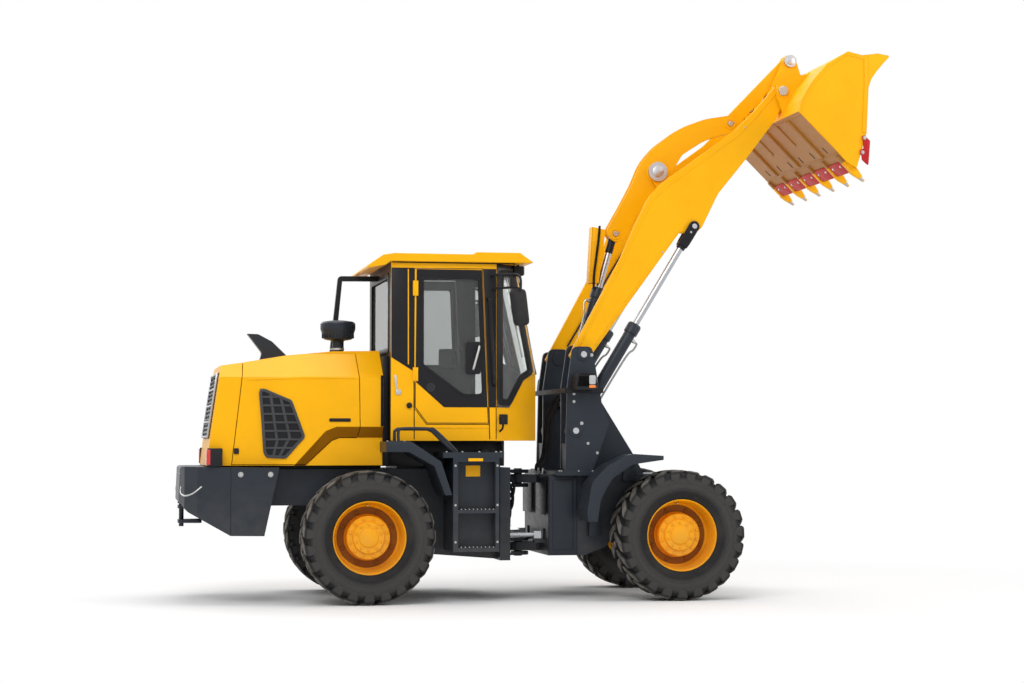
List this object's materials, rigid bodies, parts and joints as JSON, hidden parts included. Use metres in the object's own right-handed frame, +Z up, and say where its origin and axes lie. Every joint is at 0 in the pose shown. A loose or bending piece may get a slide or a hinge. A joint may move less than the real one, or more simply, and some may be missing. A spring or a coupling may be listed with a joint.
{
  "type": "compact wheel loader",
  "caption": "Compact articulated wheel loader with enclosed cab, slotted rear grille, raised boom with a bellcrank linkage, and a toothed bucket tipped to dump loose material.",
  "frame": {"origin": "middle of the machine's footprint on the ground, with the machine straight and its boom raised", "axes": "+X towards the bucket, +Y to the machine's left, +Z up"},
  "size_m": [5.9386, 2.0668, 4.7483],
  "materials": {
    "yellow_paint": "satin gloss machine yellow",
    "slate_paint": "satin dark slate grey",
    "rubber": "matt tyre rubber",
    "rim_paint": "satin wheel yellow",
    "black_plastic": "matt black moulded plastic",
    "glass": "green tinted safety glass",
    "chrome": "polished cylinder rod",
    "steel": "turned steel pin",
    "seat_cloth": "dark woven seat cover"
  },
  "bodies": {
    "rear_frame": {"rear_chassis": "slate_paint", "counterweight": "slate_paint", "engine": "black_plastic", "hood": "yellow_paint", "rear_grille": "black_plastic", "exhaust_fin": "slate_paint", "precleaner": "slate_paint", "cab": "yellow_paint", "cab_roof": "yellow_paint", "windscreen": "glass", "rear_window": "glass", "seat": "seat_cloth", "cab_interior": "black_plastic", "rear_axle": "slate_paint", "tank_box_right": "slate_paint", "tank_box_left": "slate_paint", "rear_fender_right": "slate_paint", "rear_fender_left": "slate_paint", "mirror_right": "black_plastic", "mirror_left": "black_plastic"},
    "cab_door_right": {"cab_door_right": "yellow_paint", "door_glass_right": "glass"},
    "cab_door_left": {"cab_door_left": "yellow_paint", "door_glass_left": "glass"},
    "hood_door_right": {"hood_door_right": "yellow_paint"},
    "hood_door_left": {"hood_door_left": "yellow_paint"},
    "rear_wheel_right": {"rear_tyre_right": "rubber", "rear_rim_right": "rim_paint"},
    "rear_wheel_left": {"rear_tyre_left": "rubber", "rear_rim_left": "rim_paint"},
    "front_wheel_right": {"front_tyre_right": "rubber", "front_rim_right": "rim_paint"},
    "front_wheel_left": {"front_tyre_left": "rubber", "front_rim_left": "rim_paint"},
    "front_frame": {"front_frame": "slate_paint", "front_axle": "slate_paint", "light_bar": "black_plastic", "front_fender_right": "slate_paint", "front_fender_left": "slate_paint"},
    "boom": {"boom": "yellow_paint"},
    "bellcrank_pin": {"bellcrank_pin": "steel"},
    "bellcrank": {"bellcrank": "yellow_paint"},
    "bucket_pins": {"bucket_pin_right": "steel", "bucket_pin_left": "steel"},
    "bucket": {"bucket": "yellow_paint", "cutting_edge": "yellow_paint"},
    "link_pin": {"link_pin": "steel"},
    "bucket_link": {"bucket_link": "yellow_paint"},
    "lift_cylinder_right": {"lift_cylinder_right": "slate_paint"},
    "lift_cylinder_left": {"lift_cylinder_left": "slate_paint"},
    "lift_rod_right": {"lift_rod_right": "chrome"},
    "lift_rod_left": {"lift_rod_left": "chrome"},
    "tilt_pin": {"tilt_pin": "steel"},
    "tilt_cylinder": {"tilt_cylinder": "slate_paint"},
    "tilt_rod": {"tilt_rod": "chrome"},
    "steer_cylinder_right": {"steer_cylinder_right": "slate_paint"},
    "steer_cylinder_left": {"steer_cylinder_left": "slate_paint"},
    "steer_rod_right": {"steer_rod_right": "chrome"},
    "steer_rod_left": {"steer_rod_left": "chrome"}
  },
  "joints": [
    {"name": "steering", "type": "hinge", "parent": "rear_frame", "child": "front_frame", "pos_m": [-0.0667, 0, 0.7], "axis": [0, 0, 1], "range_deg": [-35, 35]},
    {"name": "rear_wheel_right_spin", "type": "hinge", "parent": "rear_frame", "child": "rear_wheel_right", "pos_m": [-1.4667, -0.775, 0.54], "axis": [0, 1, 0], "continuous": true},
    {"name": "rear_wheel_left_spin", "type": "hinge", "parent": "rear_frame", "child": "rear_wheel_left", "pos_m": [-1.4667, 0.775, 0.54], "axis": [0, 1, 0], "continuous": true},
    {"name": "front_wheel_right_spin", "type": "hinge", "parent": "front_frame", "child": "front_wheel_right", "pos_m": [1.1333, -0.775, 0.54], "axis": [0, 1, 0], "continuous": true},
    {"name": "front_wheel_left_spin", "type": "hinge", "parent": "front_frame", "child": "front_wheel_left", "pos_m": [1.1333, 0.775, 0.54], "axis": [0, 1, 0], "continuous": true},
    {"name": "cab_door_right_hinge", "type": "hinge", "parent": "rear_frame", "child": "cab_door_right", "pos_m": [-1.0837, -0.709, 2.1], "axis": [0, 0, -1], "range_deg": [0, 80]},
    {"name": "cab_door_left_hinge", "type": "hinge", "parent": "rear_frame", "child": "cab_door_left", "pos_m": [-1.0837, 0.709, 2.1], "axis": [0, 0, 1], "range_deg": [0, 80]},
    {"name": "hood_door_right_hinge", "type": "hinge", "parent": "rear_frame", "child": "hood_door_right", "pos_m": [-2.5627, -0.628, 1.5], "axis": [0, 0, -1], "range_deg": [0, 70]},
    {"name": "hood_door_left_hinge", "type": "hinge", "parent": "rear_frame", "child": "hood_door_left", "pos_m": [-2.5627, 0.628, 1.5], "axis": [0, 0, 1], "range_deg": [0, 70]},
    {"name": "arm_lift", "type": "hinge", "parent": "front_frame", "child": "boom", "pos_m": [0.3773, 0, 2.046], "axis": [0, -1, 0], "range_deg": [-88, 0]},
    {"name": "bucket_tilt", "type": "hinge", "parent": "boom", "child": "bucket_pins", "pos_m": [2.1623, 0, 4.34], "axis": [0, -1, 0], "range_deg": [0, 91]},
    {"name": "bucket_level", "type": "hinge", "parent": "bucket_pins", "child": "bucket", "pos_m": [2.1623, 0, 4.34], "axis": [0, -1, 0], "range_deg": [0, 88]},
    {"name": "bellcrank_pin_turn", "type": "hinge", "parent": "boom", "child": "bellcrank_pin", "pos_m": [1.1603, 0, 3.671], "axis": [0, -1, 0], "range_deg": [-26, 0]},
    {"name": "bellcrank_turn", "type": "hinge", "parent": "bellcrank_pin", "child": "bellcrank", "pos_m": [1.1603, 0, 3.671], "axis": [0, -1, 0], "range_deg": [-27, 0]},
    {"name": "link_pin_turn", "type": "hinge", "parent": "bucket", "child": "link_pin", "pos_m": [2.3903, 0, 4.694], "axis": [0, -1, 0], "range_deg": [-34, 0]},
    {"name": "link_turn", "type": "hinge", "parent": "link_pin", "child": "bucket_link", "pos_m": [2.3903, 0, 4.694], "axis": [0, -1, 0], "range_deg": [-35, 0]},
    {"name": "tilt_pin_turn", "type": "hinge", "parent": "front_frame", "child": "tilt_pin", "pos_m": [0.4333, 0, 1.88], "axis": [0, -1, 0], "range_deg": [-75, 0]},
    {"name": "tilt_cylinder_turn", "type": "hinge", "parent": "tilt_pin", "child": "tilt_cylinder", "pos_m": [0.4333, 0, 1.88], "axis": [0, -1, 0], "range_deg": [0, 10.5]},
    {"name": "tilt_rod_slide", "type": "slide", "parent": "tilt_cylinder", "child": "tilt_rod", "axis": [0.2746, 0, 0.9616], "range_m": [0, 0.182]},
    {"name": "lift_cylinder_right_turn", "type": "hinge", "parent": "front_frame", "child": "lift_cylinder_right", "pos_m": [0.3083, -0.48, 1.406], "axis": [0, -1, 0], "range_deg": [-71, 0]},
    {"name": "lift_rod_right_slide", "type": "slide", "parent": "lift_cylinder_right", "child": "lift_rod_right", "axis": [0.5189, 0, 0.8548], "range_m": [-0.75, 0]},
    {"name": "lift_cylinder_left_turn", "type": "hinge", "parent": "front_frame", "child": "lift_cylinder_left", "pos_m": [0.3083, 0.48, 1.406], "axis": [0, -1, 0], "range_deg": [-71, 0]},
    {"name": "lift_rod_left_slide", "type": "slide", "parent": "lift_cylinder_left", "child": "lift_rod_left", "axis": [0.5189, 0, 0.8548], "range_m": [-0.75, 0]},
    {"name": "steer_cylinder_right_turn", "type": "hinge", "parent": "rear_frame", "child": "steer_cylinder_right", "pos_m": [-0.6867, -0.3, 0.53], "axis": [0, 0, 1], "range_deg": [-5, 5]},
    {"name": "steer_rod_right_slide", "type": "slide", "parent": "steer_cylinder_right", "child": "steer_rod_right", "axis": [0.9991, -0.0416, 0], "range_m": [-0.195, 0.195]},
    {"name": "steer_cylinder_left_turn", "type": "hinge", "parent": "rear_frame", "child": "steer_cylinder_left", "pos_m": [-0.6867, 0.3, 0.53], "axis": [0, 0, 1], "range_deg": [-5, 5]},
    {"name": "steer_rod_left_slide", "type": "slide", "parent": "steer_cylinder_left", "child": "steer_rod_left", "axis": [0.9991, 0.0416, 0], "range_m": [-0.195, 0.195]}
  ],
  "couplings": [
    {"joint": "bucket_level", "follows": "arm_lift", "ratio": -1},
    {"joint": "bellcrank_pin_turn", "follows": "arm_lift", "ratio": 0.287},
    {"joint": "bellcrank_turn", "follows": "bucket_tilt", "ratio": -0.287},
    {"joint": "link_pin_turn", "follows": "arm_lift", "ratio": 0.38},
    {"joint": "link_turn", "follows": "bucket_tilt", "ratio": -0.38},
    {"joint": "tilt_pin_turn", "follows": "arm_lift", "ratio": 0.85},
    {"joint": "tilt_cylinder_turn", "follows": "bucket_tilt", "ratio": 0.111},
    {"joint": "tilt_rod_slide", "follows": "bucket_tilt", "m_per_rad": 0.114},
    {"joint": "lift_cylinder_right_turn", "follows": "arm_lift", "ratio": 0.79656},
    {"joint": "lift_rod_right_slide", "follows": "arm_lift", "m_per_rad": 0.487},
    {"joint": "lift_cylinder_left_turn", "follows": "arm_lift", "ratio": 0.79656},
    {"joint": "lift_rod_left_slide", "follows": "arm_lift", "m_per_rad": 0.487},
    {"joint": "steer_cylinder_right_turn", "follows": "steering", "ratio": 0.12},
    {"joint": "steer_rod_right_slide", "follows": "steering", "m_per_rad": 0.312},
    {"joint": "steer_cylinder_left_turn", "follows": "steering", "ratio": 0.12},
    {"joint": "steer_rod_left_slide", "follows": "steering", "m_per_rad": -0.312}
  ]
}
